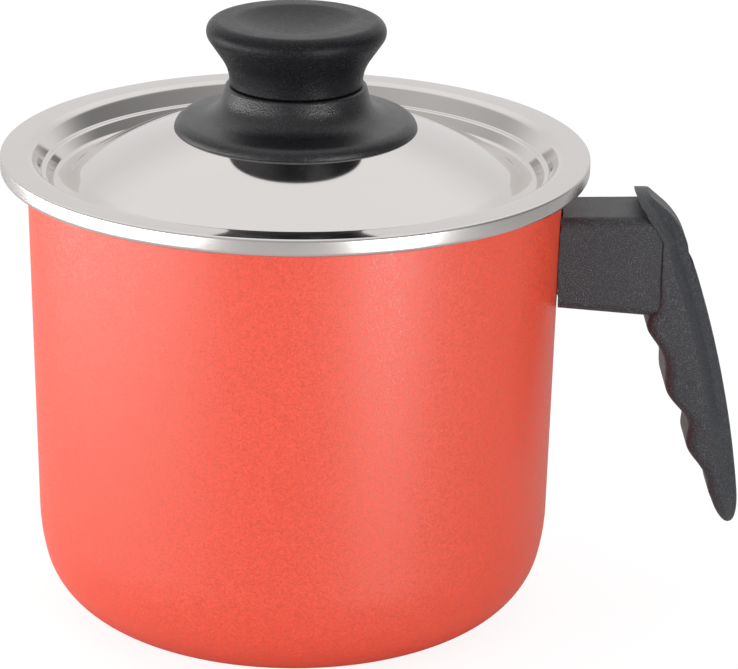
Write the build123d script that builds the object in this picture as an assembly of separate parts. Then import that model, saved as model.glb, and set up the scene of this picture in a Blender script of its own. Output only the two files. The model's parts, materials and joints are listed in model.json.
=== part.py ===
from build123d import *
from math import asin, cos, pi, radians, sin, sqrt, tan
import os

# Milk pan with a loose lid. Millimetres, Z up.
# The origin is on the pan's axis, at the level it stands on. +X points to the handle.

# Pan, drawn from aluminium sheet
rim_top = 128.2             # height of the pan without its lid
mouth_radius = 72.3         # outside of the wall just under the rim
heel = (70.25, 22.2)        # where the wall's line turns in to the base corner
foot_radius = 64.9          # where that line would meet the floor
heel_round = 56.0
corner_radius = 21.0        # rounded base corner, outside
inner_heel_round = 50.0
inner_corner_radius = 18.0
wall = 1.3
base_thickness = 2.4
rim_radius = 75.2           # outer edge of the out-turned rim
rim_thickness = 1.6
rim_round = 0.72
neck_round = 1.2
groove_radii = (38.0, 41.0) # ring turned into the base
groove_depth = 0.6

# Lid, pressed from stainless sheet. Radii and heights are those of its upper face.
sheet = 0.5
lid_hole_radius = 2.7
dome_curve_radius = 113.0
dome_apex = 140.0
dome_edge_radius = 57.0
shoulder = (58.38, 123.76)
gutter_inner = (60.26, 120.5)
gutter_outer = (65.2, 120.5)
ledge_inner = (67.1, 123.8)
ledge_outer = (68.3, 123.9)
flange_inner = (71.1, 129.0)
lid_radius = 79.35          # outside of the rolled edge
roll_bottom = 124.2
roll_inner = 75.6
roll_lip = 126.6
lid_bends = [3.0, 4.0, 1.5, 0.8, 0.6, 1.3, 2.0, 1.3, 1.3]

# Knob and its skirt, two mouldings
seam_height = 147.2         # where the knob stands on its skirt
knob_foot_radius = 17.9
knob_waist = (17.85, 151.55)
knob_bulge_bottom = 160.66
knob_radius = 24.1
knob_top = 165.0
knob_rounds = [0, 0.8, 12.0, 3.5, 3.2]
dish_curve_radius = 60.0    # hollow for the fingertip
dish_depth = 2.2
dish_round = 6.0
skirt_top_radius = 20.2
skirt_waist = (21.6, 139.4)
skirt_brim = (31.2, 137.9)
skirt_radius = 32.8
skirt_edge_height = 136.2
skirt_rounds = [0, 1.0, 7.0, 3.0, 0.3, 0]
skirt_wall = 2.6
hub_radius = 8.0

# Fastening of the knob
insert_radius = 4.0
insert_length = 12.0
insert_depth = 10.8
knob_screw_radius = 2.5
knob_screw_end = 157.0
screw_head_radius = 4.6
screw_head_height = 3.2
socket_radius = 1.6         # driving recess of both screws
socket_depth = 1.6
knob_washer_radius = 6.0
washer_thickness = 1.0

# Stem of the handle
stem_axis = 100.6           # height of the long screw
stem_half_width = 11.8
stem_inner_x = 66.0         # before the end is cut to the wall's curve
stem_outer_x = 100.5        # inside the grip, before its end is cut to the lip's slant
stem_tops = (113.1, 113.6)
stem_bottoms = (88.0, 85.15)
stem_round = 3.0
stem_overlap = 0.3
wall_gap = 0.5              # between the stem's hollow end and the pan

# Grip: its back is one long bow, its front has three finger rests between four ridges
bow_radius = 323.3
bow_center = (-197.6, -5.2)
neck_x = 99.0               # where stem and grip meet on the side
neck_curve_top = 95.0
ridges = [(95.2, 83.4), (102.0, 63.4), (108.5, 46.2), (116.0, 30.4)]
finger_depths = (2.2, 2.8, 1.5)
tip_slope = 0.21            # of the inner face below the last ridge
widest_half = 12.8
widest_height = 88.0
width_falloff = 626.0
tip_height = 21.5
tip_length = 11.3
tip_x = 122.2

# Thumb lip: above the bow the grip leans over towards the lid
lean_start = 106.0          # height where the back starts to curve over
lean_radius = 20.0
lean_angle = 50.0           # slant of the lip's back from upright
inner_lean_start = 107.0
inner_lean = 0.63           # slant of the lip's inner face, X for each Z
lip_height = 118.2
lip_rim_radius = 25.0       # round top edge of the lip, seen along X
lip_steps = 6
lip_round = 0.3
front_round_max = 3.2
side_line_back = 6.0        # from the crisp side line to the back
side_line_round = 0.4
neck_share = 0.78           # most that the flank takes of a thin slice, near the lip
tip_share = 0.6             # and near the tip
crest_share = 0.42          # half width of the back, as a share of the grip's
crest_round = 0.4
flute_depth = 1.2           # one flute runs down each flank
flute_trace = 0.1
flute_place = 0.55
flute_lean = 0.4
flute_round = 0.8
flute_end = 48.0
flute_fade = 14.0
blade_steps = 24
tip_steps = (0.012, 0.06, 0.16, 0.32, 0.55, 0.8)

# Joint of handle and pan
bracket_thickness = 1.5
bracket_half_width = 8.0
bracket_bottom = 91.0
bracket_top = 110.2
bracket_round = 2.5
boss_radius = 4.2
boss_length = 8.0
rivet_spacing = 14.0
rivet_radius = 2.0
rivet_head_radius = 4.0
rivet_head_height = 1.3
rivet_tail_radius = 2.5
rivet_tail_height = 0.9
handle_screw_radius = 2.5
handle_screw_seat = 97.0    # floor of the screw's recess at the back of the grip
recess_radius = 5.6
handle_washer_radius = 5.2
play = 0.3                  # round what is dropped into a pocket
pocket_depth = 75.2

far = 200.0                 # longer than any piece


def section(corners, radii):
    """Closed section in the XZ plane, one radius for each corner."""
    line = FilletPolyline(*corners, radius=radii, close=True)
    return make_face(Plane.XZ * line)


def turned(corners, radii):
    """Solid of revolution about the pan's axis."""
    return revolve(section(corners, radii), Axis.Z)


def rod(radius, low, high):
    """Upright round bar on the pan's axis."""
    return Pos(0, 0, low) * Cylinder(radius, high - low, align=(Align.CENTER, Align.CENTER, Align.MIN))


def cross_rod(radius, start, end, height):
    """Round bar along X."""
    bar = Cylinder(radius, end - start, align=(Align.CENTER, Align.CENTER, Align.MIN))
    return Pos(start, 0, height) * Rot(0, 90, 0) * bar


def wall_radius(height):
    """Outside radius of the tapered pan wall at a height."""
    heel_radius, heel_height = heel
    rise = (height - heel_height) / (rim_top - heel_height)
    return heel_radius + (mouth_radius - heel_radius) * rise


def wall_cone(clearance, low, high):
    """Solid that fills the pan's wall line, larger by a clearance, between two heights."""
    corners = [
        (0, low),
        (wall_radius(low) + clearance, low),
        (wall_radius(high) + clearance, high),
        (0, high),
    ]
    return revolve(make_face(Plane.XZ * Polyline(*corners, close=True)), Axis.Z)


def rivet_heights():
    return (stem_axis - rivet_spacing / 2, stem_axis + rivet_spacing / 2)


def pan_body():
    """Drawn pot: flat base with a ring groove, corner of two radii, tapered wall and out-turned rim."""
    neck = rim_top - rim_thickness
    groove_start, groove_end = groove_radii
    heel_radius, heel_height = heel
    corners = [
        (0, 0),
        (groove_start, 0),
        (groove_start + groove_depth, groove_depth),
        (groove_end - groove_depth, groove_depth),
        (groove_end, 0),
        (foot_radius, 0),
        heel,
        (wall_radius(neck), neck),
        (rim_radius, neck),
        (rim_radius, rim_top),
        (mouth_radius - wall, rim_top),
        (heel_radius - wall, heel_height),
        (foot_radius - wall, base_thickness),
        (0, base_thickness),
    ]
    rounds = [0] + 4 * [groove_depth / 2]
    rounds += [corner_radius, heel_round, neck_round, rim_round, rim_round, neck_round]
    rounds += [inner_heel_round, inner_corner_radius, 0]
    body = turned(corners, rounds)
    for height in rivet_heights():
        body -= cross_rod(rivet_radius, mouth_radius - 10, mouth_radius + 10, height)
    return body


def handle_bracket():
    """Curved steel plate riveted to the wall."""
    middle = (bracket_top + bracket_bottom) / 2
    blank = Box(30, 2 * bracket_half_width, bracket_top - bracket_bottom)
    blank = fillet(blank.edges().filter_by(Axis.X), bracket_round)
    plate = Pos(mouth_radius, 0, middle) * blank
    plate &= wall_cone(bracket_thickness, 0, far)
    plate -= wall_cone(0, 0, far)
    for height in rivet_heights():
        plate -= cross_rod(rivet_radius, mouth_radius - 10, mouth_radius + 10, height)
    return plate


def boss_start():
    return wall_radius(stem_axis) + bracket_thickness


def boss_end():
    return boss_start() + boss_length


def handle_boss():
    """Tapped steel boss welded to the bracket."""
    boss = cross_rod(boss_radius, boss_start() - 1, boss_end(), stem_axis)
    boss -= wall_cone(bracket_thickness, 0, far)
    boss = chamfer(boss.edges().sort_by(Axis.X)[-1], 0.6)
    return boss - cross_rod(handle_screw_radius, boss_start() + 0.5, boss_end() + 1, stem_axis)


def rivet(height):
    """Domed head inside the pan, shank through wall and plate, flattened tail."""
    inside = wall_radius(height) - wall
    outside = wall_radius(height) + bracket_thickness
    shank = cross_rod(rivet_radius, inside - rivet_head_height / 2, outside + rivet_tail_height / 2, height)
    curve = (rivet_head_radius ** 2 + rivet_head_height ** 2) / (2 * rivet_head_height)
    ball = Pos(inside - rivet_head_height + curve, 0, height) * Sphere(curve)
    head = ball & cross_rod(rivet_head_radius, inside - 2 * rivet_head_height, inside + wall / 2, height)
    head &= wall_cone(-wall, 0, far)
    tail = cross_rod(rivet_tail_radius, outside - wall / 2, outside + rivet_tail_height, height)
    tail = chamfer(tail.edges().sort_by(Axis.X)[-1], rivet_tail_height / 3)
    tail -= wall_cone(bracket_thickness, 0, far)
    return shank + head + tail


def bracket_rivets():
    return Compound(children=[rivet(height) for height in rivet_heights()])


def back(height):
    """X of the grip's back: the long bow, then an arc and a straight slant over to the lip."""
    center_x, center_z = bow_center
    if height <= lean_start:
        return center_x + sqrt(bow_radius ** 2 - (height - center_z) ** 2)
    angle = asin((lean_start - center_z) / bow_radius)
    arc_x = center_x + (bow_radius - lean_radius) * cos(angle)
    arc_z = center_z + (bow_radius - lean_radius) * sin(angle)
    if height <= lean_end():
        return arc_x + sqrt(lean_radius ** 2 - (height - arc_z) ** 2)
    slant = radians(lean_angle)
    return arc_x + lean_radius * cos(slant) - (height - lean_end()) * tan(slant)


def lean_end():
    """Height where the arc of the lip's back ends in the straight slant."""
    angle = asin((lean_start - bow_center[1]) / bow_radius)
    arc_z = bow_center[1] + (bow_radius - lean_radius) * sin(angle)
    return arc_z + lean_radius * sin(radians(lean_angle))


def front(height):
    """X of the grip's inner face: lip, neck, curve under the stem, then the finger rests."""
    if height >= neck_curve_top:
        return neck_x - inner_lean * max(height - inner_lean_start, 0)
    if height >= ridges[0][1]:
        drop = (neck_curve_top - height) / (neck_curve_top - ridges[0][1])
        return neck_x - (neck_x - ridges[0][0]) * drop ** 2
    for upper, lower, depth in zip(ridges, ridges[1:], finger_depths):
        if height >= lower[1]:
            part = (upper[1] - height) / (upper[1] - lower[1])
            return upper[0] + (lower[0] - upper[0]) * part + depth * (1 - cos(2 * pi * part)) / 2
    return ridges[-1][0] + tip_slope * (ridges[-1][1] - height)


def half_width(height):
    return widest_half - (height - widest_height) ** 2 / width_falloff


def fade(height):
    """1 along the flutes, running out to 0 at their lower end."""
    part = min(max((height - flute_end) / flute_fade, 0), 1)
    return part * part * (3 - 2 * part)


def grip_slice(height, front_x, back_x, half, share, fluting, front_round, size=1.0):
    """Level slice of the grip: inner face, flat side, fluted flank and back.

    The share limits how much of a thin slice the flank takes. The size shrinks the slice
    about the middle of the tip.
    """
    along = min(side_line_back, share * (back_x - front_x))
    side_x = back_x - along
    crest = crest_share * half
    flute_x = side_x + flute_place * along
    flute_y = half - flute_place * (half - crest)
    depth = fluting * along / side_line_back
    corners = [
        (front_x, half),
        (side_x, half),
        (flute_x - flute_lean * depth, flute_y - depth),
        (back_x, crest),
    ]
    radii = [front_round, side_line_round, flute_round * along, crest_round * along]
    corners = [(tip_x + (x - tip_x) * size, y * size) for x, y in corners]
    corners += [(x, -y) for x, y in reversed(corners)]
    radii = [radius * size for radius in radii + radii[::-1]]
    return Pos(0, 0, height) * make_face(FilletPolyline(*corners, radius=radii, close=True))


def blade_slice(height):
    front_x = front(height)
    back_x = back(height)
    share = neck_share if height > widest_height else tip_share
    below_neck = max(neck_curve_top - height, 0)
    front_round = min(front_round_max, 0.3 * (back_x - front_x), lip_round + 0.35 * below_neck)
    size = 1.0
    if height < tip_height + tip_length:
        size = sqrt(1 - ((tip_height + tip_length - height) / tip_length) ** 2)
    fluting = flute_trace + flute_depth * fade(height)
    return grip_slice(height, front_x, back_x, half_width(height), share, fluting, front_round, size)


def blade():
    """Grip from its tip to where it leans over, lofted through level slices."""
    shoulder_height = tip_height + tip_length
    heights = [tip_height + tip_length * part for part in tip_steps]
    rise = (lean_start - shoulder_height) / blade_steps
    heights += [shoulder_height + rise * step for step in range(blade_steps + 1)]
    return loft([blade_slice(height) for height in heights])


def thumb_lip():
    """Tongue that leans over towards the lid. Its rim is cut round and left crisp."""
    rise = (lean_end() - lean_start) / lip_steps
    curve = loft([blade_slice(lean_start + rise * step) for step in range(lip_steps + 1)])
    slant = loft([blade_slice(lean_end()), blade_slice(lip_height + 1)], ruled=True)
    rim = Pos(neck_x, 0, lip_height - lip_rim_radius) * Rot(0, 90, 0) * Cylinder(lip_rim_radius, 60)
    return (curve + slant) & rim


def stem():
    """Stem of round-cornered section, hollowed at its end to the curve of the wall.

    Its other end is cut to the grip's inner face, so that no corner comes out of the flanks.
    """
    slices = []
    for x, top, bottom in zip((stem_inner_x, stem_outer_x), stem_tops, stem_bottoms):
        plane = Plane(origin=(x, 0, (top + bottom) / 2), x_dir=(0, 1, 0), z_dir=(1, 0, 0))
        slices.append(plane * RectangleRounded(2 * stem_half_width, top - bottom, stem_round))
    end_x = neck_x + stem_overlap
    lean_top = stem_tops[1] + 1
    reach = [
        (0, 0),
        (end_x, 0),
        (end_x, inner_lean_start),
        (front(lean_top) + stem_overlap, lean_top),
        (0, lean_top),
    ]
    reach = extrude(make_face(Plane.XZ * Polyline(*reach, close=True)), amount=stem_half_width + 1, both=True)
    return (loft(slices) & reach) - wall_cone(wall_gap, 0, far)


def handle():
    """One phenolic moulding: stem, grip and lip, with the pocket for the bracket and the screw's bores."""
    body = blade() + thumb_lip() + stem()
    room = 2 * (bracket_half_width + play)
    low, high = bracket_bottom - play, bracket_top + play
    pocket = Box(pocket_depth - stem_inner_x, room, high - low, align=(Align.MIN, Align.CENTER, Align.MIN))
    body -= Pos(stem_inner_x, 0, low) * pocket
    body -= cross_rod(boss_radius + play, pocket_depth - 1, boss_end(), stem_axis)
    body -= cross_rod(handle_screw_radius + play, boss_end() - 1, handle_screw_seat + 1, stem_axis)
    body -= cross_rod(recess_radius, handle_screw_seat, handle_screw_seat + 30, stem_axis)
    return body


def screw(radius, length):
    """Pan-head screw standing on its tip at the origin, head up, with a square socket."""
    shank = rod(radius, 0, length)
    shank = chamfer(shank.edges().sort_by(Axis.Z)[0], radius / 4)
    head = rod(screw_head_radius, length, length + screw_head_height)
    head = fillet(head.edges().sort_by(Axis.Z)[-1], screw_head_height / 2)
    socket = Pos(0, 0, length + screw_head_height) * Box(2 * socket_radius, 2 * socket_radius, 2 * socket_depth)
    return shank + head - socket


def washer(outer, inner):
    ring = rod(outer, 0, washer_thickness)
    return ring - rod(inner, -1, washer_thickness + 1)


def handle_screw():
    start = boss_start() + 1
    length = handle_screw_seat + washer_thickness - start
    return Pos(start, 0, stem_axis) * Rot(0, 90, 0) * screw(handle_screw_radius, length)


def handle_washer():
    ring = washer(handle_washer_radius, handle_screw_radius + play / 2)
    return Pos(handle_screw_seat, 0, stem_axis) * Rot(0, 90, 0) * ring


def dome(radius):
    """Height of the lid's domed middle."""
    return dome_apex - dome_curve_radius + sqrt(dome_curve_radius ** 2 - radius ** 2)


def dome_arc(start, end):
    """Arc along the upper face of the dome."""
    middle = (start + end) / 2
    return ThreePointArc((start, dome(start)), (middle, dome(middle)), (end, dome(end)))


def lid_disc():
    """Domed lid with a sunk gutter, a plug wall, a flat flange and a rolled edge."""
    top = flange_inner[1]
    path = [
        (dome_edge_radius, dome(dome_edge_radius)),
        shoulder,
        gutter_inner,
        gutter_outer,
        ledge_inner,
        ledge_outer,
        flange_inner,
        (lid_radius, top),
        (lid_radius, roll_bottom),
        (roll_inner, roll_bottom),
        (roll_inner, roll_lip),
    ]
    bends = FilletPolyline(*path, radius=lid_bends)
    upper = Wire([dome_arc(lid_hole_radius, dome_edge_radius)] + bends.edges())
    outline = upper.offset_2d(sheet, side=Side.RIGHT, closed=True)
    return revolve(Plane.XZ * make_face(outline), Axis.Z)


def lid_knob():
    """Waisted knob, wider at the top, with a shallow dish for the fingertip."""
    corners = [
        (0, seam_height),
        (knob_foot_radius, seam_height),
        knob_waist,
        (knob_radius, knob_bulge_bottom),
        (knob_radius, knob_top),
        (0, knob_top),
    ]
    knob = turned(corners, knob_rounds + [0])
    dish_center = knob_top - dish_depth + dish_curve_radius
    knob -= Pos(0, 0, dish_center) * Sphere(dish_curve_radius)
    edge = knob.edges().filter_by(GeomType.CIRCLE).filter_by_position(Axis.Z, knob_top - 0.01, knob_top + 0.01)
    knob = fillet(edge.sort_by(SortBy.RADIUS)[0], dish_round)
    return knob - rod(insert_radius, seam_height - 1, seam_height + insert_length)


def knob_insert():
    """Brass insert moulded into the knob, tapped from below."""
    insert = rod(insert_radius, seam_height, seam_height + insert_length)
    return insert - rod(knob_screw_radius, seam_height - 1, seam_height + insert_depth)


def knob_skirt():
    """Bell-shaped moulding between lid and knob, hollow round its hub."""
    seat = dome(skirt_radius - skirt_wall / 2)
    outer = [
        (0, seam_height),
        (skirt_top_radius, seam_height),
        skirt_waist,
        skirt_brim,
        (skirt_radius, skirt_edge_height),
        (skirt_radius, seat - 2),
        (0, seat - 2),
    ]
    bell = turned(outer, skirt_rounds + [0])
    hollow = [
        (hub_radius, seat - 3),
        (skirt_radius - skirt_wall / 2, seat - 3),
        (skirt_radius - skirt_wall, skirt_edge_height - 0.2),
        (skirt_waist[0] - skirt_wall / 4, skirt_waist[1] - skirt_wall),
        (skirt_top_radius - skirt_wall, seam_height - skirt_wall),
        (hub_radius, seam_height - skirt_wall),
    ]
    bell -= turned(hollow, [0, 0, 0, 2.0, 1.0, 1.0])
    bell -= Pos(0, 0, dome_apex - dome_curve_radius) * Sphere(dome_curve_radius)
    return bell - rod(knob_screw_radius + play, 0, far)


def washer_bottom():
    """Lower face of the washer, whose rim lies against the dome from below."""
    return dome(knob_washer_radius) - sheet - washer_thickness


def knob_screw():
    length = knob_screw_end - washer_bottom()
    return Pos(0, 0, knob_screw_end) * Rot(180, 0, 0) * screw(knob_screw_radius, length)


def knob_washer():
    return Pos(0, 0, washer_bottom()) * washer(knob_washer_radius, knob_screw_radius + play / 2)


os.makedirs("parts", exist_ok=True)
pieces = [
    pan_body,
    handle_bracket,
    handle_boss,
    bracket_rivets,
    handle,
    handle_screw,
    handle_washer,
    lid_disc,
    knob_skirt,
    lid_knob,
    knob_insert,
    knob_screw,
    knob_washer,
]
for piece in pieces:
    export_step(piece(), "parts/" + piece.__name__ + ".step")
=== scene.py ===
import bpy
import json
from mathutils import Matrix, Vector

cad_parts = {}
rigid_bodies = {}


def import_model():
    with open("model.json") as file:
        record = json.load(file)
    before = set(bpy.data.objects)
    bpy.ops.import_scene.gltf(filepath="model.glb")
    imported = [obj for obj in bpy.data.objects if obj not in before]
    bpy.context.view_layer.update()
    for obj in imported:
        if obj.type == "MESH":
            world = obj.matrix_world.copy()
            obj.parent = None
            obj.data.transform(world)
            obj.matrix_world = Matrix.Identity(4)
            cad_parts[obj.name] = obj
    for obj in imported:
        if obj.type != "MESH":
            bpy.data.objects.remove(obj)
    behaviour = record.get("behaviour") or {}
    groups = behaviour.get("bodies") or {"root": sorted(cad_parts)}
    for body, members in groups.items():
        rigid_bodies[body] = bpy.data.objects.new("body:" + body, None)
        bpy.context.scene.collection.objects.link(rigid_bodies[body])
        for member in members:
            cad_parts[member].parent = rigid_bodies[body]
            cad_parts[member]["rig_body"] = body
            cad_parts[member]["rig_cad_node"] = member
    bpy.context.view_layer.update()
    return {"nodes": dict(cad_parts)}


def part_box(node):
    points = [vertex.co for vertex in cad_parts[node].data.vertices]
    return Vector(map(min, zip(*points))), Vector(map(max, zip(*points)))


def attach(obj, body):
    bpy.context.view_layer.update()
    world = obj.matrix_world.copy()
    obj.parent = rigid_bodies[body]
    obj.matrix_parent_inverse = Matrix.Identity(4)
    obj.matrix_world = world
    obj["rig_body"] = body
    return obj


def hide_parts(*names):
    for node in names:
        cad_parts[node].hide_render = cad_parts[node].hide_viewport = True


bl_info = {
    "name": "Milk Pan with Steel Lid",
    "version": (1, 0, 0),
    "blender": (4, 5, 0),
    "location": "View3D > Sidebar > Milk Pan",
    "description": "Models a coated milk pan with its steel lid, knob and handle round a fixed frame",
    "category": "Object",
}

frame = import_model()

import json
from math import atan2, ceil, cos, pi, radians, sin, sqrt, tan

import bpy
from bpy.props import FloatProperty, FloatVectorProperty, IntProperty, PointerProperty
from mathutils import Matrix, Vector

MM = 0.001

# Boxes of the frame's nodes, each a low and a high corner
PAN_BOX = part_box("pan_body")
LID_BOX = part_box("lid_disc")
SKIRT_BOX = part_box("knob_skirt")
KNOB_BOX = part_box("lid_knob")
INSERT_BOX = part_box("knob_insert")

# Nodes of the frame that are plated steel
STEEL_NODES = ("handle_bracket", "handle_boss", "handle_screw", "handle_washer", "knob_screw", "knob_washer")

# Facets round the axis of the turned pieces, and degrees between the steps of their rounded corners
PAN_FACETS = 192
LID_FACETS = 224
KNOB_FACETS = 144           # also the skirt's
PAN_TURN = 3.0
LID_TURN = 6.0
KNOB_TURN = 5.0             # also the skirt's
MERGE = 0.002 * MM          # points of a turned piece that are closer than this become one

# Edges of a piece that bend more than this stay sharp
CREASE = radians(30)
LID_CREASE = radians(40)

# Steps along the curves of the lid's dome and the knob's dish
DOME_STEPS = 40
DISH_STEPS = 10
DISH_SHARE = 0.8            # share of the dish's radius that its rounded edge leaves free

# Material slots of the pan's faces, and what tells those faces apart
COAT, LINING, BARE = range(3)
LEAN_TO_AXIS = 0.2          # how far a face of the inner wall turns to the axis
LOOK_UP = 0.05              # how far a face of the pan's floor turns up
FLOOR_REACH = 30 * MM       # faces that look up are the pan's floor below this and its rim above
BASE_SHARE = 0.8            # the lining lies above this share of the base's thickness
GROOVE_DEPTHS = 1.2         # the turned base lies below this many depths of its groove
GROOVE_RADII = 1.1          # and inside this many radii of it

# Material slots of the lid's faces
POLISHED, ROLLED_EDGE = range(2)

# Light of the room by direction: bright behind the pan and overhead, dim in front
SIDE_LOSS = -0.5            # change of the brightness towards both sides
HEIGHT_SHARE = 0.8          # how much height counts beside depth
WINDOW = (0.2, 0.6)         # where the bright part starts and where it is full
DIM_LEVEL = 0.46            # strength of the dim part
DIM_TO_RIGHT = -0.2         # change of that strength towards the right
HORIZON = (0.35, 0.7)       # heights between which all of it grows to its full strength
HORIZON_LEVEL = 0.83        # share of that strength below those heights

# Soft boxes: turn to the right and rise in degrees, then distance, width and height in metres
SOFT_BOXES = {
    "left_box": {"turn": -76, "rise": 2, "distance": 0.65, "width": 1.2, "height": 0.19},
    "right_box": {"turn": 37, "rise": 4, "distance": 0.65, "width": 0.31, "height": 0.24},
}
SENSOR_WIDTH = 36           # millimetres
CLIP_START = 0.01           # metres
CLIP_END = 30               # metres


def length_property(name, description, millimetres):
    """A size that is given in millimetres and kept in metres."""
    return FloatProperty(
        name=name, description=description, default=millimetres * MM,
        unit="LENGTH", subtype="DISTANCE", precision=5,
    )


def corner_property(name, description, *millimetres):
    """A corner of an outline as radius, height and rounding, given in millimetres and kept in metres."""
    return FloatVectorProperty(
        name=name, description=description + ": radius, height and rounding",
        default=[value * MM for value in millimetres], size=3, unit="LENGTH", precision=5,
    )


def colour_property(name, description, *value):
    return FloatVectorProperty(
        name=name, description=description, default=value, size=3, min=0.0, max=1.0, subtype="COLOR",
    )


def angle_property(name, description, angle):
    return FloatProperty(name=name, description=description, default=angle, subtype="ANGLE")


def number_property(name, description, value):
    return FloatProperty(name=name, description=description, default=value)


class PanSizes(bpy.types.PropertyGroup):
    """Sizes and colours of the drawn pan."""

    mouth_radius: length_property("Mouth radius", "Outside of the wall just under the rim", 72.3)
    heel_radius: length_property("Heel radius", "Outside of the wall where it turns in to the base", 70.25)
    heel_height: length_property("Heel height", "Height of that turn", 22.2)
    foot_radius: length_property("Foot radius", "Where the turned-in line would meet the floor", 64.9)
    heel_round: length_property("Heel rounding", "Large radius of the base corner, outside", 56.0)
    corner_radius: length_property("Corner radius", "Small radius of the base corner, outside", 21.0)
    inner_heel_round: length_property("Inner heel rounding", "Large radius of the base corner, inside", 50.0)
    inner_corner_radius: length_property("Inner corner radius", "Small radius of that corner, inside", 18.0)
    wall: length_property("Wall", "Thickness of the wall", 1.3)
    base: length_property("Base", "Thickness of the base", 2.4)
    rim: length_property("Rim", "Thickness of the out-turned rim", 1.6)
    rim_round: length_property("Rim rounding", "Rounding of the rim's outer edges", 0.72)
    neck_round: length_property("Neck rounding", "Rounding where the wall turns out to the rim", 1.2)
    groove: length_property("Groove", "Depth of the ring turned into the base", 0.6)
    groove_start: length_property("Groove start", "Inner radius of the ring in the base", 38.0)
    groove_end: length_property("Groove end", "Outer radius of the ring in the base", 41.0)
    coat: colour_property("Coat", "Colour of the outside coating", 0.94, 0.062, 0.014)
    lining: colour_property("Lining", "Colour of the non-stick lining", 0.055, 0.055, 0.058)
    bare: colour_property("Bare metal", "Colour of the turned base", 0.72, 0.72, 0.73)


class LidSizes(bpy.types.PropertyGroup):
    """Sizes and colour of the pressed lid."""

    sheet: length_property("Sheet", "Thickness of the sheet", 0.5)
    hole: length_property("Hole radius", "Hole for the knob's screw", 2.7)
    dome_curve: length_property("Dome curve", "Radius of the domed middle", 113.0)
    dome_edge: length_property("Dome edge", "Radius at which the dome bends down", 57.0)
    shoulder: corner_property("Shoulder", "Where the dome bends into the gutter", 58.2, 123.9, 5.0)
    gutter_inner: corner_property("Gutter, inner side", "Inner side of the gutter", 61.8, 120.5, 5.0)
    gutter_outer: corner_property("Gutter, outer side", "Outer side of the gutter", 65.2, 120.5, 1.5)
    ledge_inner: corner_property("Ledge, inner edge", "Inner edge of the ledge", 67.1, 123.8, 0.8)
    ledge_outer: corner_property("Ledge, outer edge", "Outer edge of the ledge", 68.3, 123.9, 0.6)
    flange: corner_property("Flange", "Inner edge of the flange", 71.1, 129.0, 3.0)
    edge_round: length_property("Edge rounding", "Rounding between flange and rolled edge", 0.8)
    edge_foot: length_property("Edge foot", "Height of the foot of the rolled edge", 124.2)
    foot_round: length_property("Foot rounding", "Rounding of that foot", 1.3)
    curl_radius: length_property("Curl radius", "Radius of the sheet that is curled under", 75.6)
    curl_height: length_property("Curl height", "Height at which the curled sheet ends", 126.6)
    edge_band: length_property("Edge band", "Depth of the band with the softer polish", 0.5)
    steel: colour_property("Steel", "Colour of the polished steel", 0.715, 0.685, 0.67)


class KnobSizes(bpy.types.PropertyGroup):
    """Sizes and colour of the knob."""

    foot_radius: length_property("Foot radius", "Foot of the knob, where it stands on the skirt", 17.9)
    foot_round: length_property("Foot rounding", "Rounding of that foot", 0.8)
    waist: corner_property("Waist", "Narrow part of the knob", 17.85, 151.55, 12.0)
    brow_height: length_property("Brow height", "Height at which the knob is widest", 160.66)
    brow_round: length_property("Brow rounding", "Rounding below the widest part", 3.5)
    top: length_property("Top", "Height of the knob's top", 165.0)
    top_round: length_property("Top rounding", "Rounding between side and top", 3.2)
    dish_curve: length_property("Dish curve", "Radius of the hollow for the fingertip", 60.0)
    dish_depth: length_property("Dish depth", "Depth of that hollow", 2.2)
    dish_round: length_property("Dish rounding", "Rounding of the hollow's edge", 6.0)
    bore_round: length_property("Bore rounding", "Rounding at the top of the insert's bore", 0.1)
    mouth_round: length_property("Bore mouth rounding", "Rounding at the mouth of that bore", 0.2)
    black: colour_property("Black", "Colour of the moulding", 0.017, 0.017, 0.020)


class SkirtSizes(bpy.types.PropertyGroup):
    """Sizes and colour of the skirt under the knob."""

    hole: length_property("Hole radius", "Hole for the screw", 2.8)
    collar_radius: length_property("Collar radius", "Top of the skirt, round the knob's foot", 18.9)
    collar_round: length_property("Collar rounding", "Rounding of that edge", 0.8)
    waist: corner_property("Waist", "Where the skirt spreads out", 20.8, 139.4, 7.0)
    lip: corner_property("Lip", "Where the skirt turns down", 32.2, 137.85, 3.2)
    wall: length_property("Wall", "Thickness of the skirt", 2.6)
    hub: length_property("Hub radius", "Hub inside the skirt", 8.0)
    lip_inside: length_property("Lip, inside", "Height at which the inside of the lip starts", 136.0)
    waist_inside: length_property("Waist, inside", "Rounding of the waist, inside", 2.0)
    hub_round: length_property("Hub rounding", "Rounding between hub, collar and top, inside", 1.0)
    edge_round: length_property("Edge rounding", "Rounding of the edges that touch lid and knob", 0.1)
    lip_round: length_property("Lip rounding", "Rounding of the inside of the lip", 0.2)
    black: colour_property("Black", "Colour of the moulding", 0.017, 0.017, 0.020)


class HandleSizes(bpy.types.PropertyGroup):
    """Colour and shading of the moulded handle."""

    black: colour_property("Black", "Colour of the moulding", 0.052, 0.055, 0.063)
    merge: length_property("Merge distance", "Points closer than this become one", 0.005)
    crease: angle_property("Crease", "Edges that bend more than this stay sharp", radians(28))
    flatness: IntProperty(
        name="Flatness", description="How much large faces keep their own shading",
        default=80, min=1, max=100, subtype="PERCENTAGE",
    )


class FasteningColours(bpy.types.PropertyGroup):
    """Colours of the small metal pieces."""

    steel: colour_property("Plated steel", "Colour of bracket, boss, screws and washers", 0.60, 0.60, 0.59)
    aluminium: colour_property("Aluminium", "Colour of the rivets", 0.74, 0.74, 0.75)
    brass: colour_property("Brass", "Colour of the knob's insert", 0.78, 0.60, 0.28)
    ring_depth: length_property("Ring depth", "Depth of the turning marks on these pieces", 0.03)


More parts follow.
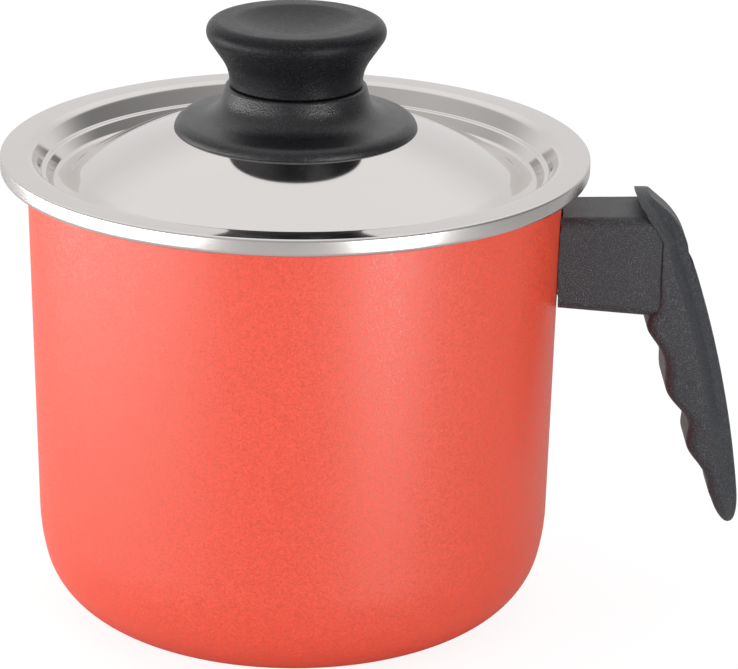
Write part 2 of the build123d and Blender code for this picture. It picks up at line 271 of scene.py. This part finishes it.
class StageSettings(bpy.types.PropertyGroup):
    """Camera, floor and light."""

    camera_height: length_property("Camera height", "Height of the camera above the floor", 396.95)
    camera_distance: length_property("Camera distance", "Distance of the camera from the axis", 900.0)
    yaw: angle_property("Yaw", "Turn of the camera to the right", 0.02276)
    pitch: angle_property("Pitch", "Tilt of the camera downwards", 0.34239)
    roll: angle_property("Roll", "Roll of the camera", 0.01472)
    lens: number_property("Lens", "Focal length in millimetres on a 36 mm sensor", 169.73)
    floor_size: length_property("Floor size", "Side of the square floor", 12000.0)
    floor_drop: length_property("Floor drop", "Gap that keeps floor and base apart", 0.1)
    floor_grey: number_property("Floor grey", "Shade of the floor as the object mirrors it", 0.68)
    floor_glow: number_property("Floor glow", "Light that the camera sees in the floor by itself", 0.88)
    floor_shade: number_property("Floor shade", "Shade of the floor that shows shadows", 0.2)
    floor_roughness: number_property("Floor roughness", "Roughness of the floor's sheen", 0.12)
    light_height: length_property("Light height", "Height at which both soft boxes aim", 75.0)
    left_power: number_property("Left light", "Power of the long soft box on the left, in watts", 3.65)
    right_power: number_property("Right light", "Power of the soft box on the right, in watts", 1.65)


def mm(length):
    """A length that is kept in metres, in millimetres."""
    return length / MM


def corner_mm(values):
    """A corner of an outline that is kept in metres, in millimetres."""
    return tuple(mm(value) for value in values)


def start_clean():
    """Object mode with nothing selected."""
    if bpy.context.object and bpy.context.object.mode != "OBJECT":
        bpy.ops.object.mode_set(mode="OBJECT")
    bpy.ops.object.select_all(action="DESELECT")


def pick(obj):
    """Makes an object the only one selected, and the active one."""
    start_clean()
    bpy.context.view_layer.objects.active = obj
    obj.select_set(True)


def edit(obj):
    """Edit mode with the whole mesh selected."""
    pick(obj)
    bpy.ops.object.mode_set(mode="EDIT")
    bpy.ops.mesh.select_all(action="SELECT")


def leave():
    bpy.ops.object.mode_set(mode="OBJECT")


def apply_modifier(obj, kind, **settings):
    pick(obj)
    modifier = obj.modifiers.new(kind.lower(), kind)
    for name, value in settings.items():
        setattr(modifier, name, value)
    bpy.ops.object.modifier_apply(modifier=modifier.name)


def smooth(obj, crease):
    """Smooth shading, with edges sharp where they bend more than the crease angle."""
    pick(obj)
    bpy.ops.object.shade_smooth_by_angle(angle=crease)


def rounded(corners, turn):
    """Outline of (radius, height) points from corners of (radius, height, rounding), in millimetres.

    Each rounded corner becomes an arc in steps of at most the given turn in degrees.
    """
    points = []
    for index, (x, y, rounding) in enumerate(corners):
        if index in (0, len(corners) - 1) or rounding == 0:
            points.append((x, y))
            continue
        point = Vector((x, y))
        back = (Vector(corners[index - 1][:2]) - point).normalized()
        ahead = (Vector(corners[index + 1][:2]) - point).normalized()
        half = back.angle(ahead) / 2
        centre = point + (back + ahead).normalized() * rounding / sin(half)
        first = point + back * rounding / tan(half) - centre
        last = point + ahead * rounding / tan(half) - centre
        sweep = atan2(first.x * last.y - first.y * last.x, first.dot(last))
        steps = max(2, ceil(abs(sweep) / radians(turn)))
        for step in range(steps + 1):
            angle = sweep * step / steps
            x_part = first.x * cos(angle) - first.y * sin(angle)
            y_part = first.x * sin(angle) + first.y * cos(angle)
            points.append((centre.x + x_part, centre.y + y_part))
    return points


def spun(name, outline, facets):
    """Spins an outline of (radius, height) points in millimetres about the pan's axis."""
    start_clean()
    bpy.ops.mesh.primitive_plane_add(size=MM)
    obj = bpy.context.object
    obj.name = name
    obj.data.name = name
    bpy.ops.object.mode_set(mode="EDIT")
    bpy.ops.mesh.select_all(action="SELECT")
    bpy.ops.mesh.merge(type="CENTER")
    place = Vector((outline[0][0], 0, outline[0][1])) * MM
    bpy.ops.transform.translate(value=place)
    for radius, height in outline[1:]:
        target = Vector((radius, 0, height)) * MM
        bpy.ops.mesh.extrude_region_move(TRANSFORM_OT_translate={"value": target - place})
        place = target
    bpy.ops.mesh.select_all(action="SELECT")
    bpy.ops.mesh.spin(steps=facets, angle=2 * pi, center=(0, 0, 0), axis=(0, 0, 1), dupli=False)
    bpy.ops.mesh.select_all(action="SELECT")
    bpy.ops.mesh.remove_doubles(threshold=MERGE)
    bpy.ops.mesh.select_all(action="SELECT")
    bpy.ops.mesh.normals_make_consistent(inside=False)
    leave()
    return obj


def finish_piece(obj, body, node_name):
    """Makes a piece ride on its body and hides the node that it stands for."""
    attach(obj, body)
    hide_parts(node_name)


def new_material(name):
    """A new material, its node tree and its Principled shader."""
    material = bpy.data.materials.new(name)
    material.use_nodes = True
    return material, material.node_tree, material.node_tree.nodes["Principled BSDF"]


def node(tree, kind, **values):
    """Adds a node. A value is set on the node itself where it has one of that name, or else on its socket."""
    made = tree.nodes.new(kind)
    for name, value in values.items():
        if hasattr(made, name):
            setattr(made, name, value)
        else:
            made.inputs[name.replace("_", " ")].default_value = value
    return made


def link(tree, start, end):
    tree.links.new(start, end)


def effect(tree, name, make, **values):
    """Places a shared node group, which is made when it is first needed, on the object's coordinates."""
    made = tree.nodes.new("ShaderNodeGroup")
    made.node_tree = bpy.data.node_groups.get(name) or make(name)
    for label, value in values.items():
        made.inputs[label.replace("_", " ")].default_value = value
    link(tree, node(tree, "ShaderNodeTexCoord").outputs["Object"], made.inputs["Vector"])
    return made


def new_group(name, inputs, outputs):
    """A shader node group with a vector and numbers coming in and numbers going out, and its two ends."""
    group = bpy.data.node_groups.new(name, "ShaderNodeTree")
    group.interface.new_socket(name="Vector", in_out="INPUT", socket_type="NodeSocketVector")
    for label, default in inputs.items():
        socket = group.interface.new_socket(name=label, in_out="INPUT", socket_type="NodeSocketFloat")
        socket.default_value = default
    for label in outputs:
        group.interface.new_socket(name=label, in_out="OUTPUT", socket_type="NodeSocketFloat")
    return group, group.nodes.new("NodeGroupInput"), group.nodes.new("NodeGroupOutput")


def group_texture(group, entry, kind, scale, **values):
    """A texture inside a group, on the group's vector and on one of its scales."""
    made = node(group, kind, **values)
    link(group, entry.outputs["Vector"], made.inputs["Vector"])
    link(group, entry.outputs[scale], made.inputs["Scale"])
    return made


def mould_grain_group(name):
    """Fine cast grain of a moulding: a height, a mask of lighter specks, and a mask of broad blotches."""
    scales = {"Grain Scale": 2600.0, "Blotch Scale": 160.0}
    group, entry, leaving = new_group(name, scales, ("Height", "Specks", "Blotches"))
    fine = group_texture(group, entry, "ShaderNodeTexNoise", "Grain Scale", Detail=3.0, Roughness=0.6)
    coarse = group_texture(group, entry, "ShaderNodeTexNoise", "Blotch Scale", Detail=2.0, Roughness=0.5)
    specks = node(group, "ShaderNodeValToRGB")
    for element, position in zip(specks.color_ramp.elements, (0.5, 0.78)):
        element.position = position
    link(group, fine.outputs["Fac"], specks.inputs["Fac"])
    link(group, fine.outputs["Fac"], leaving.inputs["Height"])
    link(group, specks.outputs["Color"], leaving.inputs["Specks"])
    link(group, coarse.outputs["Fac"], leaving.inputs["Blotches"])
    return group


def metal_flake_group(name):
    """Metal flakes in a coating: a random shade for each flake, and a height that tilts it."""
    group, entry, leaving = new_group(name, {"Flake Scale": 2200.0}, ("Shade", "Height"))
    flakes = group_texture(group, entry, "ShaderNodeTexVoronoi", "Flake Scale", Randomness=1.0)
    ripple = group_texture(group, entry, "ShaderNodeTexNoise", "Flake Scale", Detail=2.0, Roughness=0.55)
    shade = node(group, "ShaderNodeSeparateColor")
    link(group, flakes.outputs["Color"], shade.inputs["Color"])
    link(group, shade.outputs["Red"], leaving.inputs["Shade"])
    link(group, ripple.outputs["Fac"], leaving.inputs["Height"])
    return group


def polish_group(name):
    """Marks of polishing that run round the axis, and faint smears left by hands."""
    scales = {"Ring Scale": 900.0, "Smear Scale": 38.0}
    group, entry, leaving = new_group(name, scales, ("Rings", "Smears"))
    split = node(group, "ShaderNodeSeparateXYZ")
    flat = node(group, "ShaderNodeCombineXYZ")
    across = node(group, "ShaderNodeVectorMath", operation="LENGTH")
    ring = node(group, "ShaderNodeCombineXYZ")
    rings = node(group, "ShaderNodeTexNoise", Detail=2.0, Roughness=0.6)
    smears = group_texture(group, entry, "ShaderNodeTexNoise", "Smear Scale", Detail=4.0, Roughness=0.55)
    link(group, entry.outputs["Vector"], split.inputs["Vector"])
    link(group, split.outputs["X"], flat.inputs["X"])
    link(group, split.outputs["Y"], flat.inputs["Y"])
    link(group, flat.outputs["Vector"], across.inputs[0])
    link(group, across.outputs["Value"], ring.inputs["X"])
    link(group, split.outputs["Z"], ring.inputs["Z"])
    link(group, ring.outputs["Vector"], rings.inputs["Vector"])
    link(group, entry.outputs["Ring Scale"], rings.inputs["Scale"])
    link(group, rings.outputs["Fac"], leaving.inputs["Rings"])
    link(group, smears.outputs["Fac"], leaving.inputs["Smears"])
    return group


def roughen(tree, shader, mask, low, high):
    """Roughness that goes from low to high with a mask of 0 to 1."""
    made = node(tree, "ShaderNodeMapRange", To_Min=low, To_Max=high)
    link(tree, mask, made.inputs["Value"])
    link(tree, made.outputs["Result"], shader.inputs["Roughness"])


def tint(tree, shader, mask, colour, dark, light):
    """The colour times dark where a mask is 0 and times light where it is 1."""
    made = node(tree, "ShaderNodeMix", data_type="RGBA")
    ends = [socket for socket in made.inputs if socket.type == "RGBA"]
    for socket, factor in zip(ends, (dark, light)):
        socket.default_value = (*(min(1.0, part * factor) for part in colour), 1)
    link(tree, mask, made.inputs["Factor"])
    mixed = next(socket for socket in made.outputs if socket.type == "RGBA")
    link(tree, mixed, shader.inputs["Base Color"])


def bump(tree, shader, height, strength, depth):
    made = node(tree, "ShaderNodeBump", Strength=strength, Distance=depth)
    link(tree, height, made.inputs["Height"])
    link(tree, made.outputs["Normal"], shader.inputs["Normal"])


def coat_material(colour):
    """Red metallic coating: satin, with fine flakes that catch the light."""
    material, tree, shader = new_material("metallic_coat")
    flakes = effect(tree, "metal_flake", metal_flake_group, Flake_Scale=2800.0)
    tint(tree, shader, flakes.outputs["Shade"], colour, dark=0.82, light=1.16)
    roughen(tree, shader, flakes.outputs["Shade"], low=0.28, high=0.60)
    shader.inputs["IOR"].default_value = 1.6
    shader.inputs["Specular IOR Level"].default_value = 1.0
    bump(tree, shader, flakes.outputs["Height"], strength=0.3, depth=0.15 * MM)
    return material


def lining_material(colour):
    """Dark non-stick lining with a faint orange-peel surface."""
    material, tree, shader = new_material("non_stick_lining")
    flakes = effect(tree, "metal_flake", metal_flake_group, Flake_Scale=1300.0)
    tint(tree, shader, flakes.outputs["Shade"], colour, dark=0.8, light=1.5)
    roughen(tree, shader, flakes.outputs["Height"], low=0.3, high=0.5)
    bump(tree, shader, flakes.outputs["Height"], strength=0.15, depth=0.2 * MM)
    return material


def polished_material(name, colour, roughness, ring_depth):
    """Polished or turned metal with fine rings and faint smears."""
    material, tree, shader = new_material(name)
    marks = effect(tree, "polish_marks", polish_group)
    tint(tree, shader, marks.outputs["Smears"], colour, dark=0.97, light=1.03)
    roughen(tree, shader, marks.outputs["Smears"], *roughness)
    shader.inputs["Metallic"].default_value = 1.0
    bump(tree, shader, marks.outputs["Rings"], strength=0.1, depth=ring_depth)
    return material


def phenolic_material(name, colour, roughness, grain_scale, grain_strength, gloss):
    """Black phenolic moulding with cast grain and lighter specks."""
    material, tree, shader = new_material(name)
    grain = effect(tree, "mould_grain", mould_grain_group, Grain_Scale=grain_scale)
    tint(tree, shader, grain.outputs["Specks"], colour, dark=0.6, light=3.0)
    roughen(tree, shader, grain.outputs["Blotches"], *roughness)
    shader.inputs["Specular IOR Level"].default_value = gloss
    bump(tree, shader, grain.outputs["Height"], strength=grain_strength, depth=0.3 * MM)
    return material


def pan_wall(sizes, height):
    """Outside radius of the tapered wall at a height, in millimetres."""
    heel = mm(sizes.heel_height)
    rise = (height - heel) / (mm(PAN_BOX[1].z) - heel)
    return mm(sizes.heel_radius + (sizes.mouth_radius - sizes.heel_radius) * rise)


def pan_outline(sizes):
    """Outside of the pan from the middle of its base to its rim, and back along the inside."""
    top = mm(PAN_BOX[1].z)
    neck = top - mm(sizes.rim)
    rim_radius = mm(PAN_BOX[1].x)
    wall, base, groove = mm(sizes.wall), mm(sizes.base), mm(sizes.groove)
    start, end = mm(sizes.groove_start), mm(sizes.groove_end)
    foot, heel, heel_height = mm(sizes.foot_radius), mm(sizes.heel_radius), mm(sizes.heel_height)
    return rounded([
        (0, 0, 0),
        (start, 0, groove / 2),
        (start + groove, groove, groove / 2),
        (end - groove, groove, groove / 2),
        (end, 0, groove / 2),
        (foot, 0, mm(sizes.corner_radius)),
        (heel, heel_height, mm(sizes.heel_round)),
        (pan_wall(sizes, neck), neck, mm(sizes.neck_round)),
        (rim_radius, neck, mm(sizes.rim_round)),
        (rim_radius, top, mm(sizes.rim_round)),
        (pan_wall(sizes, top) - wall, top, mm(sizes.neck_round)),
        (heel - wall, heel_height, mm(sizes.inner_heel_round)),
        (foot - wall, base, mm(sizes.inner_corner_radius)),
        (0, base, 0),
    ], PAN_TURN)


def pan_slot(face, sizes):
    """Which of the pan's materials a face shows."""
    centre = face.center
    radius = centre.xy.length
    leans_in = face.normal.xy.dot(centre.xy) < -LEAN_TO_AXIS * radius
    is_floor = centre.z < FLOOR_REACH and face.normal.z > LOOK_UP
    if centre.z > sizes.base * BASE_SHARE and (leans_in or is_floor):
        return LINING
    if centre.z < sizes.groove * GROOVE_DEPTHS and radius < sizes.groove_end * GROOVE_RADII:
        return BARE
    return COAT


class MILKPAN_OT_pan(bpy.types.Operator):
    """Models the drawn pan: coated outside, lined inside, with a turned base"""

    bl_idname = "milkpan.pan"
    bl_label = "Drawn pan"

    def execute(self, context):
        sizes = context.scene.milkpan_pan
        pan = spun("pan", pan_outline(sizes), PAN_FACETS)
        pan.data.materials.append(coat_material(sizes.coat))
        pan.data.materials.append(lining_material(sizes.lining))
        pan.data.materials.append(
            polished_material("turned_base", sizes.bare, roughness=(0.25, 0.4), ring_depth=0.05 * MM)
        )
        for face in pan.data.polygons:
            face.material_index = pan_slot(face, sizes)
        smooth(pan, CREASE)
        finish_piece(pan, "pan", "pan_body")
        return {"FINISHED"}


def dome_height(sizes, radius):
    """Height of the lid's upper face at a radius, in millimetres."""
    curve = mm(sizes.dome_curve)
    apex = mm(LID_BOX[1].z) + curve - sqrt(curve ** 2 - mm(sizes.hole) ** 2)
    return apex - curve + sqrt(curve ** 2 - radius ** 2)


def lid_outline(sizes):
    """Upper face of the lid from its hole to the sheet that is curled under the flange."""
    hole, edge = mm(sizes.hole), mm(sizes.dome_edge)
    radius, curl = mm(LID_BOX[1].x), mm(sizes.curl_radius)
    foot = mm(sizes.edge_foot)
    dome = [hole + (edge - hole) * step / DOME_STEPS for step in range(DOME_STEPS + 1)]
    bends = rounded([
        (edge, dome_height(sizes, edge), 0),
        corner_mm(sizes.shoulder),
        corner_mm(sizes.gutter_inner),
        corner_mm(sizes.gutter_outer),
        corner_mm(sizes.ledge_inner),
        corner_mm(sizes.ledge_outer),
        corner_mm(sizes.flange),
        (radius, mm(sizes.flange[1]), mm(sizes.edge_round)),
        (radius, foot, mm(sizes.foot_round)),
        (curl, foot, mm(sizes.foot_round)),
        (curl, mm(sizes.curl_height), 0),
    ], LID_TURN)
    return [(r, dome_height(sizes, r)) for r in dome] + bends[1:]


def turn_up(obj, reach):
    """Turns an open sheet's faces over if those within the reach of the axis look down."""
    middle = [face for face in obj.data.polygons if face.center.xy.length < reach]
    if sum(face.normal.z * face.area for face in middle) < 0:
        edit(obj)
        bpy.ops.mesh.flip_normals()
        leave()


class MILKPAN_OT_lid(bpy.types.Operator):
    """Models the pressed steel lid: dome, gutter, ledge, flange and rolled edge"""

    bl_idname = "milkpan.lid"
    bl_label = "Steel lid"

    def execute(self, context):
        sizes = context.scene.milkpan_lid
        lid = spun("lid", lid_outline(sizes), LID_FACETS)
        turn_up(lid, sizes.dome_edge)
        apply_modifier(
            lid, "SOLIDIFY", thickness=sizes.sheet, offset=-1.0, use_even_offset=True, use_rim=True
        )
        lid.data.materials.append(
            polished_material("polished_lid", sizes.steel, roughness=(0.05, 0.10), ring_depth=0.01 * MM)
        )
        lid.data.materials.append(
            polished_material("rolled_edge", sizes.steel, roughness=(0.24, 0.32), ring_depth=0.02 * MM)
        )
        for face in lid.data.polygons:
            on_edge = face.center.xy.length > LID_BOX[1].x - sizes.edge_band
            face.material_index = ROLLED_EDGE if on_edge else POLISHED
        smooth(lid, LID_CREASE)
        finish_piece(lid, "lid", "lid_disc")
        return {"FINISHED"}


def dish_height(sizes, radius):
    """Height of the hollow in the knob's top at a radius, in millimetres."""
    curve = mm(sizes.dish_curve)
    return mm(sizes.top) - mm(sizes.dish_depth) + curve - sqrt(curve ** 2 - radius ** 2)


def knob_outline(sizes):
    """The knob from the top of the insert's bore, round its foot and side, to the middle of its dish."""
    foot, top = mm(KNOB_BOX[0].z), mm(sizes.top)
    radius = mm(KNOB_BOX[1].x)
    bore, bore_top = mm(INSERT_BOX[1].x), mm(INSERT_BOX[1].z)
    curve = mm(sizes.dish_curve)
    dish = sqrt(curve ** 2 - (curve - mm(sizes.dish_depth)) ** 2)
    free = dish * DISH_SHARE
    outline = rounded([
        (0, bore_top, 0),
        (bore, bore_top, mm(sizes.bore_round)),
        (bore, foot, mm(sizes.mouth_round)),
        (mm(sizes.foot_radius), foot, mm(sizes.foot_round)),
        corner_mm(sizes.waist),
        (radius, mm(sizes.brow_height), mm(sizes.brow_round)),
        (radius, top, mm(sizes.top_round)),
        (dish, top, mm(sizes.dish_round)),
        (free, dish_height(sizes, free), 0),
    ], KNOB_TURN)
    inwards = [free * (1 - step / DISH_STEPS) for step in range(1, DISH_STEPS + 1)]
    return outline + [(r, dish_height(sizes, r)) for r in inwards]


class MILKPAN_OT_knob(bpy.types.Operator):
    """Models the knob with the hollow in its top"""

    bl_idname = "milkpan.knob"
    bl_label = "Knob"

    def execute(self, context):
        sizes = context.scene.milkpan_knob
        knob = spun("knob", knob_outline(sizes), KNOB_FACETS)
        knob.data.materials.append(phenolic_material(
            "knob_phenolic", sizes.black, roughness=(0.22, 0.34),
            grain_scale=2600.0, grain_strength=0.4, gloss=0.17,
        ))
        smooth(knob, CREASE)
        finish_piece(knob, "lid", "lid_knob")
        return {"FINISHED"}


def skirt_outline(sizes, lid_sizes):
    """The skirt from its hole over the collar and lip, and back inside round the hub."""
    radius, top = mm(SKIRT_BOX[1].x), mm(SKIRT_BOX[1].z)
    hole, hub, wall = mm(sizes.hole), mm(sizes.hub), mm(sizes.wall)
    collar = mm(sizes.collar_radius)
    waist_radius, waist_height, waist_round = corner_mm(sizes.waist)
    edge_round, hub_round = mm(sizes.edge_round), mm(sizes.hub_round)
    inner = radius - wall / 2
    return rounded([
        (hole, dome_height(lid_sizes, hole), 0),
        (hole, top, edge_round),
        (collar, top, mm(sizes.collar_round)),
        (waist_radius, waist_height, waist_round),
        corner_mm(sizes.lip),
        (radius, dome_height(lid_sizes, radius), edge_round),
        (inner, dome_height(lid_sizes, inner), edge_round),
        (radius - wall, mm(sizes.lip_inside), mm(sizes.lip_round)),
        (waist_radius - wall / 4, waist_height - wall, mm(sizes.waist_inside)),
        (collar - wall, top - wall, hub_round),
        (hub, top - wall, hub_round),
        (hub, dome_height(lid_sizes, hub), edge_round),
        (hole, dome_height(lid_sizes, hole), 0),
    ], KNOB_TURN)


class MILKPAN_OT_skirt(bpy.types.Operator):
    """Models the bell-shaped skirt between lid and knob"""

    bl_idname = "milkpan.skirt"
    bl_label = "Skirt"

    def execute(self, context):
        sizes = context.scene.milkpan_skirt
        skirt = spun("skirt", skirt_outline(sizes, context.scene.milkpan_lid), KNOB_FACETS)
        skirt.data.materials.append(phenolic_material(
            "skirt_phenolic", sizes.black, roughness=(0.24, 0.38),
            grain_scale=1900.0, grain_strength=0.5, gloss=0.6,
        ))
        smooth(skirt, CREASE)
        finish_piece(skirt, "lid", "knob_skirt")
        return {"FINISHED"}


def copy_of_node(name, copy_name):
    """A free copy of one of the frame's nodes, with its own mesh."""
    copy = frame["nodes"][name].copy()
    copy.data = frame["nodes"][name].data.copy()
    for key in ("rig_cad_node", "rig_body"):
        if key in copy:
            del copy[key]
    copy.parent = None
    copy.name = copy_name
    copy.data.name = copy_name
    bpy.context.scene.collection.objects.link(copy)
    return copy


class MILKPAN_OT_handle(bpy.types.Operator):
    """Models the handle from the frame's own form, merged and smoothed"""

    bl_idname = "milkpan.handle"
    bl_label = "Moulded handle"

    def execute(self, context):
        sizes = context.scene.milkpan_handle
        handle = copy_of_node("handle", "moulded_handle")
        edit(handle)
        bpy.ops.mesh.remove_doubles(threshold=sizes.merge)
        leave()
        handle.data.materials.clear()
        handle.data.materials.append(phenolic_material(
            "handle_phenolic", sizes.black, roughness=(0.30, 0.46),
            grain_scale=2700.0, grain_strength=0.9, gloss=0.42,
        ))
        smooth(handle, sizes.crease)
        apply_modifier(handle, "WEIGHTED_NORMAL", keep_sharp=True, weight=sizes.flatness)
        finish_piece(handle, "pan", "handle")
        return {"FINISHED"}


def put_material(name, material):
    """Gives one of the frame's nodes a material in all of its slots."""
    materials = frame["nodes"][name].data.materials
    if not materials:
        materials.append(material)
    for index in range(len(materials)):
        materials[index] = material


class MILKPAN_OT_fastenings(bpy.types.Operator):
    """Finishes the small metal pieces that hold knob and handle"""

    bl_idname = "milkpan.fastenings"
    bl_label = "Fastenings"

    def execute(self, context):
        colours = context.scene.milkpan_fastenings
        depth = colours.ring_depth
        steel = polished_material("plated_steel", colours.steel, roughness=(0.22, 0.38), ring_depth=depth)
        aluminium = polished_material(
            "rivet_aluminium", colours.aluminium, roughness=(0.25, 0.4), ring_depth=depth
        )
        brass = polished_material("insert_brass", colours.brass, roughness=(0.25, 0.4), ring_depth=depth)
        for name in STEEL_NODES:
            put_material(name, steel)
        put_material("bracket_rivets", aluminium)
        put_material("knob_insert", brass)
        return {"FINISHED"}


def grey(level):
    return (level, level, level, 1)


def feed(tree, value, socket):
    """Sets a socket to a number, or links another node's output to it."""
    if isinstance(value, float):
        socket.default_value = value
    else:
        link(tree, value, socket)


def multiply_add(tree, source, factor, plus):
    """The source times a factor, plus a number or another node's output."""
    made = node(tree, "ShaderNodeMath", operation="MULTIPLY_ADD")
    feed(tree, source, made.inputs[0])
    feed(tree, factor, made.inputs[1])
    feed(tree, plus, made.inputs[2])
    return made.outputs["Value"]


def soft_step(tree, source, reach, low):
    """A value that rises smoothly from low to 1 while the source goes through its reach."""
    made = node(
        tree, "ShaderNodeMapRange", interpolation_type="SMOOTHSTEP",
        From_Min=reach[0], From_Max=reach[1], To_Max=1.0,
    )
    feed(tree, source, made.inputs["Value"])
    feed(tree, low, made.inputs["To Min"])
    return made.outputs["Result"]


def for_camera(tree, seen, other, output):
    """Shows one shader to the camera and another to every other ray."""
    path = node(tree, "ShaderNodeLightPath")
    choice = node(tree, "ShaderNodeMixShader")
    link(tree, path.outputs["Is Camera Ray"], choice.inputs["Fac"])
    link(tree, other, choice.inputs[1])
    link(tree, seen, choice.inputs[2])
    link(tree, choice.outputs["Shader"], output.inputs["Surface"])


class MILKPAN_OT_stage(bpy.types.Operator):
    """Sets the pale floor, the soft studio light and the camera"""

    bl_idname = "milkpan.stage"
    bl_label = "Stage"

    def execute(self, context):
        settings = context.scene.milkpan_stage
        context.scene.view_settings.view_transform = "Standard"
        self.add_floor(context, settings)
        self.set_world(context)
        self.add_lamp(context, settings, "left_box", settings.left_power)
        self.add_lamp(context, settings, "right_box", settings.right_power)
        self.add_camera(context, settings)
        return {"FINISHED"}

    def add_floor(self, context, settings):
        """A floor that is near white to the camera, and grey with a sheen as the object mirrors it."""
        start_clean()
        bpy.ops.mesh.primitive_plane_add(size=settings.floor_size, location=(0, 0, -settings.floor_drop))
        floor = context.object
        floor.name = "floor"
        material, tree, shader = new_material("pale_floor")
        shader.inputs["Base Color"].default_value = grey(settings.floor_grey)
        shader.inputs["Roughness"].default_value = settings.floor_roughness
        shader.inputs["IOR"].default_value = 1.7
        shader.inputs["Specular IOR Level"].default_value = 1.0
        glow = node(tree, "ShaderNodeEmission", Color=grey(settings.floor_glow), Strength=1.0)
        plain = node(tree, "ShaderNodeBsdfDiffuse", Color=grey(settings.floor_shade))
        both = node(tree, "ShaderNodeAddShader")
        link(tree, plain.outputs["BSDF"], both.inputs[0])
        link(tree, glow.outputs["Emission"], both.inputs[1])
        for_camera(tree, both.outputs["Shader"], shader.outputs["BSDF"], tree.nodes["Material Output"])
        floor.data.materials.append(material)

    def set_world(self, context):
        """A white backdrop for the camera, and a room that lights the object by direction."""
        world = bpy.data.worlds.new("studio")
        context.scene.world = world
        world.use_nodes = True
        tree = world.node_tree
        tree.nodes.clear()
        place = node(tree, "ShaderNodeTexCoord")
        split = node(tree, "ShaderNodeSeparateXYZ")
        sideways = node(tree, "ShaderNodeMath", operation="ABSOLUTE")
        level = node(tree, "ShaderNodeMath", operation="MULTIPLY")
        room = node(tree, "ShaderNodeBackground", Color=grey(1.0))
        backdrop = node(tree, "ShaderNodeBackground", Color=grey(1.0), Strength=1.0)
        link(tree, place.outputs["Generated"], split.inputs["Vector"])
        link(tree, split.outputs["X"], sideways.inputs[0])
        behind = multiply_add(tree, sideways.outputs["Value"], SIDE_LOSS, split.outputs["Y"])
        window = multiply_add(tree, split.outputs["Z"], HEIGHT_SHARE, behind)
        dim = multiply_add(tree, split.outputs["X"], DIM_TO_RIGHT, DIM_LEVEL)
        link(tree, soft_step(tree, window, WINDOW, dim), level.inputs[0])
        link(tree, soft_step(tree, split.outputs["Z"], HORIZON, HORIZON_LEVEL), level.inputs[1])
        link(tree, level.outputs["Value"], room.inputs["Strength"])
        output = node(tree, "ShaderNodeOutputWorld")
        for_camera(tree, backdrop.outputs["Background"], room.outputs["Background"], output)

    def add_lamp(self, context, settings, name, power):
        """A soft box that looks at the pan."""
        box = SOFT_BOXES[name]
        lamp = bpy.data.lights.new(name, "AREA")
        lamp.shape = "RECTANGLE"
        lamp.size = box["width"]
        lamp.size_y = box["height"]
        lamp.energy = power
        turn, rise = radians(box["turn"]), radians(box["rise"])
        direction = Vector((sin(turn) * cos(rise), -cos(turn) * cos(rise), sin(rise)))
        obj = bpy.data.objects.new(name, lamp)
        context.scene.collection.objects.link(obj)
        obj.location = Vector((0, 0, settings.light_height)) + direction * box["distance"]
        obj.rotation_euler = direction.to_track_quat("Z", "Y").to_euler()

    def add_camera(self, context, settings):
        """Camera of the photograph: where it stood and how it was turned."""
        yaw, pitch, roll = settings.yaw, settings.pitch, settings.roll
        ahead = Vector((sin(yaw) * cos(pitch), cos(yaw) * cos(pitch), -sin(pitch)))
        right = Vector((cos(yaw), -sin(yaw), 0))
        up = right.cross(ahead)
        rolled_right = right * cos(roll) + up * sin(roll)
        rolled_up = up * cos(roll) - right * sin(roll)
        matrix = Matrix((rolled_right, rolled_up, -ahead)).transposed().to_4x4()
        matrix.translation = Vector((0, -settings.camera_distance, settings.camera_height))
        camera = bpy.data.cameras.new("camera")
        camera.sensor_width = SENSOR_WIDTH
        camera.lens = settings.lens
        camera.clip_start = CLIP_START
        camera.clip_end = CLIP_END
        obj = bpy.data.objects.new("camera", camera)
        context.scene.collection.objects.link(obj)
        obj.matrix_world = matrix
        context.scene.camera = obj


class MILKPAN_PT_panel(bpy.types.Panel):
    """Lists the pieces in the order in which they are made, and their sizes"""

    bl_idname = "MILKPAN_PT_panel"
    bl_label = "Milk Pan"
    bl_space_type = "VIEW_3D"
    bl_region_type = "UI"
    bl_category = "Milk Pan"

    def draw(self, context):
        for operator in OPERATORS:
            self.layout.operator(operator.bl_idname)
        for name in GROUPS:
            group = getattr(context.scene, name)
            box = self.layout.box()
            for prop in group.bl_rna.properties:
                if not prop.is_readonly and prop.identifier != "name":
                    box.prop(group, prop.identifier)


GROUPS = {
    "milkpan_pan": PanSizes,
    "milkpan_lid": LidSizes,
    "milkpan_knob": KnobSizes,
    "milkpan_skirt": SkirtSizes,
    "milkpan_handle": HandleSizes,
    "milkpan_fastenings": FasteningColours,
    "milkpan_stage": StageSettings,
}
OPERATORS = (
    MILKPAN_OT_pan,
    MILKPAN_OT_lid,
    MILKPAN_OT_knob,
    MILKPAN_OT_skirt,
    MILKPAN_OT_handle,
    MILKPAN_OT_fastenings,
    MILKPAN_OT_stage,
)


def register():
    for cls in (*GROUPS.values(), *OPERATORS, MILKPAN_PT_panel):
        bpy.utils.register_class(cls)
    for name, cls in GROUPS.items():
        setattr(bpy.types.Scene, name, PointerProperty(type=cls))


def unregister():
    for name in GROUPS:
        delattr(bpy.types.Scene, name)
    for cls in reversed((*GROUPS.values(), *OPERATORS, MILKPAN_PT_panel)):
        bpy.utils.unregister_class(cls)


def main():
    register()
    bpy.ops.milkpan.pan()
    bpy.ops.milkpan.lid()
    bpy.ops.milkpan.knob()
    bpy.ops.milkpan.skirt()
    bpy.ops.milkpan.handle()
    bpy.ops.milkpan.fastenings()
    bpy.ops.milkpan.stage()


if __name__ == "__main__":
    main()
